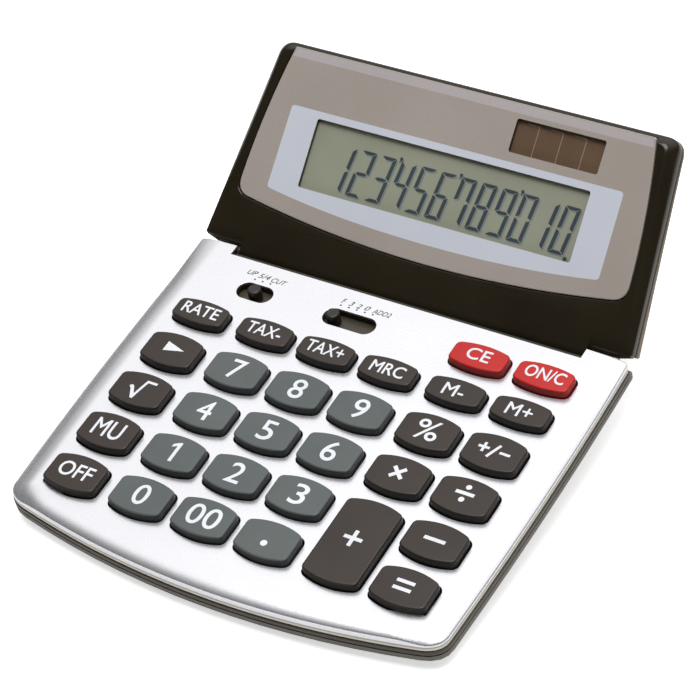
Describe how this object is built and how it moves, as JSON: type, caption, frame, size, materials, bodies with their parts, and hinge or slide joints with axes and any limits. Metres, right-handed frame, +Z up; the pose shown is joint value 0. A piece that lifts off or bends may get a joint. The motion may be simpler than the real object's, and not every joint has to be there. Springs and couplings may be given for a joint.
{
  "type": "desktop calculator",
  "caption": "Desktop calculator with a tilting display head, sprung keys under a brushed faceplate, two slide switches and a button cell behind a sliding cover.",
  "frame": {"origin": "centre of the footprint, on the floor under the feet", "axes": "+X to the right of the person who types, +Y to the rear, +Z up"},
  "size_m": [0.1432, 0.1668, 0.0653],
  "materials": {
    "brushed_plate": "brushed, satin",
    "black_plastic": "glossy",
    "dark_case": "fine satin",
    "dark_key": "satin",
    "grey_key": "satin",
    "red_key": "satin",
    "silicone": "matt",
    "circuit_board": "satin lacquer",
    "foot_rubber": "matt",
    "steel": "plain",
    "cell_metal": "smooth",
    "ribbon_film": "satin film",
    "lens_print": "glossy, printed from behind",
    "liquid_crystal": "satin",
    "solar_cell": "glossy"
  },
  "bodies": {
    "body": {"faceplate": "brushed_plate", "upper_housing": "black_plastic", "lower_case": "dark_case", "key_mat": "silicone", "main_board": "circuit_board", "foot_front_left": "foot_rubber", "foot_front_right": "foot_rubber", "foot_rear_left": "foot_rubber", "foot_rear_right": "foot_rubber", "case_screw_front_left": "steel", "case_screw_front_right": "steel", "case_screw_rear_left": "steel", "case_screw_rear_right": "steel", "button_cell": "cell_metal", "battery_contact_negative": "cell_metal", "battery_contact_positive": "cell_metal", "hinge_pin_left": "steel", "hinge_pin_right": "steel", "display_ribbon": "ribbon_film"},
    "display": {"display_bezel": "black_plastic", "display_back_cover": "dark_case", "display_lens": "lens_print", "lcd_panel": "liquid_crystal", "solar_panel": "solar_cell", "display_board": "circuit_board"},
    "rounding_switch": {"rounding_switch": "black_plastic"},
    "decimal_switch": {"decimal_switch": "black_plastic"},
    "battery_cover": {"battery_cover": "dark_case"},
    "key_clear_entry": {"key_clear_entry": "red_key"},
    "key_on_clear": {"key_on_clear": "red_key"},
    "key_rate": {"key_rate": "dark_key"},
    "key_tax_minus": {"key_tax_minus": "dark_key"},
    "key_tax_plus": {"key_tax_plus": "dark_key"},
    "key_memory_recall": {"key_memory_recall": "dark_key"},
    "key_memory_minus": {"key_memory_minus": "dark_key"},
    "key_memory_plus": {"key_memory_plus": "dark_key"},
    "key_step_back": {"key_step_back": "dark_key"},
    "key_7": {"key_7": "grey_key"},
    "key_8": {"key_8": "grey_key"},
    "key_9": {"key_9": "grey_key"},
    "key_percent": {"key_percent": "dark_key"},
    "key_sign_change": {"key_sign_change": "dark_key"},
    "key_root": {"key_root": "dark_key"},
    "key_4": {"key_4": "grey_key"},
    "key_5": {"key_5": "grey_key"},
    "key_6": {"key_6": "grey_key"},
    "key_multiply": {"key_multiply": "dark_key"},
    "key_divide": {"key_divide": "dark_key"},
    "key_mark_up": {"key_mark_up": "dark_key"},
    "key_1": {"key_1": "grey_key"},
    "key_2": {"key_2": "grey_key"},
    "key_3": {"key_3": "grey_key"},
    "key_subtract": {"key_subtract": "dark_key"},
    "key_off": {"key_off": "dark_key"},
    "key_0": {"key_0": "grey_key"},
    "key_00": {"key_00": "grey_key"},
    "key_point": {"key_point": "grey_key"},
    "key_equals": {"key_equals": "dark_key"},
    "key_add": {"key_add": "dark_key"}
  },
  "joints": [
    {"name": "display_tilt", "type": "hinge", "parent": "body", "child": "display", "pos_m": [0, 0.03611, 0.01831], "axis": [1, 0, 0], "range_deg": [-38.5, 6.5]},
    {"name": "rounding_slide", "type": "slide", "parent": "body", "child": "rounding_switch", "axis": [1, 0, 0], "range_m": [-0.00268, 0.00268]},
    {"name": "decimal_slide", "type": "slide", "parent": "body", "child": "decimal_switch", "axis": [1, 0, 0], "range_m": [0, 0.01072]},
    {"name": "battery_cover_slide", "type": "slide", "parent": "body", "child": "battery_cover", "axis": [0, 1, 0], "range_m": [0, 0.022]},
    {"name": "key_clear_entry_press", "type": "slide", "parent": "body", "child": "key_clear_entry", "axis": [0, 0.1045, -0.9945], "range_m": [0, 0.0015], "stiffness_N_per_m": 400, "springref_m": -0.0008, "deforming": ["key_mat"]},
    {"name": "key_on_clear_press", "type": "slide", "parent": "body", "child": "key_on_clear", "axis": [0, 0.1045, -0.9945], "range_m": [0, 0.0015], "stiffness_N_per_m": 400, "springref_m": -0.0008, "deforming": ["key_mat"]},
    {"name": "key_rate_press", "type": "slide", "parent": "body", "child": "key_rate", "axis": [0, 0.1045, -0.9945], "range_m": [0, 0.0015], "stiffness_N_per_m": 400, "springref_m": -0.0008, "deforming": ["key_mat"]},
    {"name": "key_tax_minus_press", "type": "slide", "parent": "body", "child": "key_tax_minus", "axis": [0, 0.1045, -0.9945], "range_m": [0, 0.0015], "stiffness_N_per_m": 400, "springref_m": -0.0008, "deforming": ["key_mat"]},
    {"name": "key_tax_plus_press", "type": "slide", "parent": "body", "child": "key_tax_plus", "axis": [0, 0.1045, -0.9945], "range_m": [0, 0.0015], "stiffness_N_per_m": 400, "springref_m": -0.0008, "deforming": ["key_mat"]},
    {"name": "key_memory_recall_press", "type": "slide", "parent": "body", "child": "key_memory_recall", "axis": [0, 0.1045, -0.9945], "range_m": [0, 0.0015], "stiffness_N_per_m": 400, "springref_m": -0.0008, "deforming": ["key_mat"]},
    {"name": "key_memory_minus_press", "type": "slide", "parent": "body", "child": "key_memory_minus", "axis": [0, 0.1045, -0.9945], "range_m": [0, 0.0015], "stiffness_N_per_m": 400, "springref_m": -0.0008, "deforming": ["key_mat"]},
    {"name": "key_memory_plus_press", "type": "slide", "parent": "body", "child": "key_memory_plus", "axis": [0, 0.1045, -0.9945], "range_m": [0, 0.0015], "stiffness_N_per_m": 400, "springref_m": -0.0008, "deforming": ["key_mat"]},
    {"name": "key_step_back_press", "type": "slide", "parent": "body", "child": "key_step_back", "axis": [0, 0.1045, -0.9945], "range_m": [0, 0.0015], "stiffness_N_per_m": 400, "springref_m": -0.0008, "deforming": ["key_mat"]},
    {"name": "key_7_press", "type": "slide", "parent": "body", "child": "key_7", "axis": [0, 0.1045, -0.9945], "range_m": [0, 0.0015], "stiffness_N_per_m": 400, "springref_m": -0.0008, "deforming": ["key_mat"]},
    {"name": "key_8_press", "type": "slide", "parent": "body", "child": "key_8", "axis": [0, 0.1045, -0.9945], "range_m": [0, 0.0015], "stiffness_N_per_m": 400, "springref_m": -0.0008, "deforming": ["key_mat"]},
    {"name": "key_9_press", "type": "slide", "parent": "body", "child": "key_9", "axis": [0, 0.1045, -0.9945], "range_m": [0, 0.0015], "stiffness_N_per_m": 400, "springref_m": -0.0008, "deforming": ["key_mat"]},
    {"name": "key_percent_press", "type": "slide", "parent": "body", "child": "key_percent", "axis": [0, 0.1045, -0.9945], "range_m": [0, 0.0015], "stiffness_N_per_m": 400, "springref_m": -0.0008, "deforming": ["key_mat"]},
    {"name": "key_sign_change_press", "type": "slide", "parent": "body", "child": "key_sign_change", "axis": [0, 0.1045, -0.9945], "range_m": [0, 0.0015], "stiffness_N_per_m": 400, "springref_m": -0.0008, "deforming": ["key_mat"]},
    {"name": "key_root_press", "type": "slide", "parent": "body", "child": "key_root", "axis": [0, 0.1045, -0.9945], "range_m": [0, 0.0015], "stiffness_N_per_m": 400, "springref_m": -0.0008, "deforming": ["key_mat"]},
    {"name": "key_4_press", "type": "slide", "parent": "body", "child": "key_4", "axis": [0, 0.1045, -0.9945], "range_m": [0, 0.0015], "stiffness_N_per_m": 400, "springref_m": -0.0008, "deforming": ["key_mat"]},
    {"name": "key_5_press", "type": "slide", "parent": "body", "child": "key_5", "axis": [0, 0.1045, -0.9945], "range_m": [0, 0.0015], "stiffness_N_per_m": 400, "springref_m": -0.0008, "deforming": ["key_mat"]},
    {"name": "key_6_press", "type": "slide", "parent": "body", "child": "key_6", "axis": [0, 0.1045, -0.9945], "range_m": [0, 0.0015], "stiffness_N_per_m": 400, "springref_m": -0.0008, "deforming": ["key_mat"]},
    {"name": "key_multiply_press", "type": "slide", "parent": "body", "child": "key_multiply", "axis": [0, 0.1045, -0.9945], "range_m": [0, 0.0015], "stiffness_N_per_m": 400, "springref_m": -0.0008, "deforming": ["key_mat"]},
    {"name": "key_divide_press", "type": "slide", "parent": "body", "child": "key_divide", "axis": [0, 0.1045, -0.9945], "range_m": [0, 0.0015], "stiffness_N_per_m": 400, "springref_m": -0.0008, "deforming": ["key_mat"]},
    {"name": "key_mark_up_press", "type": "slide", "parent": "body", "child": "key_mark_up", "axis": [0, 0.1045, -0.9945], "range_m": [0, 0.0015], "stiffness_N_per_m": 400, "springref_m": -0.0008, "deforming": ["key_mat"]},
    {"name": "key_1_press", "type": "slide", "parent": "body", "child": "key_1", "axis": [0, 0.1045, -0.9945], "range_m": [0, 0.0015], "stiffness_N_per_m": 400, "springref_m": -0.0008, "deforming": ["key_mat"]},
    {"name": "key_2_press", "type": "slide", "parent": "body", "child": "key_2", "axis": [0, 0.1045, -0.9945], "range_m": [0, 0.0015], "stiffness_N_per_m": 400, "springref_m": -0.0008, "deforming": ["key_mat"]},
    {"name": "key_3_press", "type": "slide", "parent": "body", "child": "key_3", "axis": [0, 0.1045, -0.9945], "range_m": [0, 0.0015], "stiffness_N_per_m": 400, "springref_m": -0.0008, "deforming": ["key_mat"]},
    {"name": "key_subtract_press", "type": "slide", "parent": "body", "child": "key_subtract", "axis": [0, 0.1045, -0.9945], "range_m": [0, 0.0015], "stiffness_N_per_m": 400, "springref_m": -0.0008, "deforming": ["key_mat"]},
    {"name": "key_off_press", "type": "slide", "parent": "body", "child": "key_off", "axis": [0, 0.1045, -0.9945], "range_m": [0, 0.0015], "stiffness_N_per_m": 400, "springref_m": -0.0008, "deforming": ["key_mat"]},
    {"name": "key_0_press", "type": "slide", "parent": "body", "child": "key_0", "axis": [0, 0.1045, -0.9945], "range_m": [0, 0.0015], "stiffness_N_per_m": 400, "springref_m": -0.0008, "deforming": ["key_mat"]},
    {"name": "key_00_press", "type": "slide", "parent": "body", "child": "key_00", "axis": [0, 0.1045, -0.9945], "range_m": [0, 0.0015], "stiffness_N_per_m": 400, "springref_m": -0.0008, "deforming": ["key_mat"]},
    {"name": "key_point_press", "type": "slide", "parent": "body", "child": "key_point", "axis": [0, 0.1045, -0.9945], "range_m": [0, 0.0015], "stiffness_N_per_m": 400, "springref_m": -0.0008, "deforming": ["key_mat"]},
    {"name": "key_equals_press", "type": "slide", "parent": "body", "child": "key_equals", "axis": [0, 0.1045, -0.9945], "range_m": [0, 0.0015], "stiffness_N_per_m": 400, "springref_m": -0.0008, "deforming": ["key_mat"]},
    {"name": "key_add_press", "type": "slide", "parent": "body", "child": "key_add", "axis": [0, 0.1045, -0.9945], "range_m": [0, 0.0015], "stiffness_N_per_m": 400, "springref_m": -0.0008, "deforming": ["key_mat"]}
  ]
}
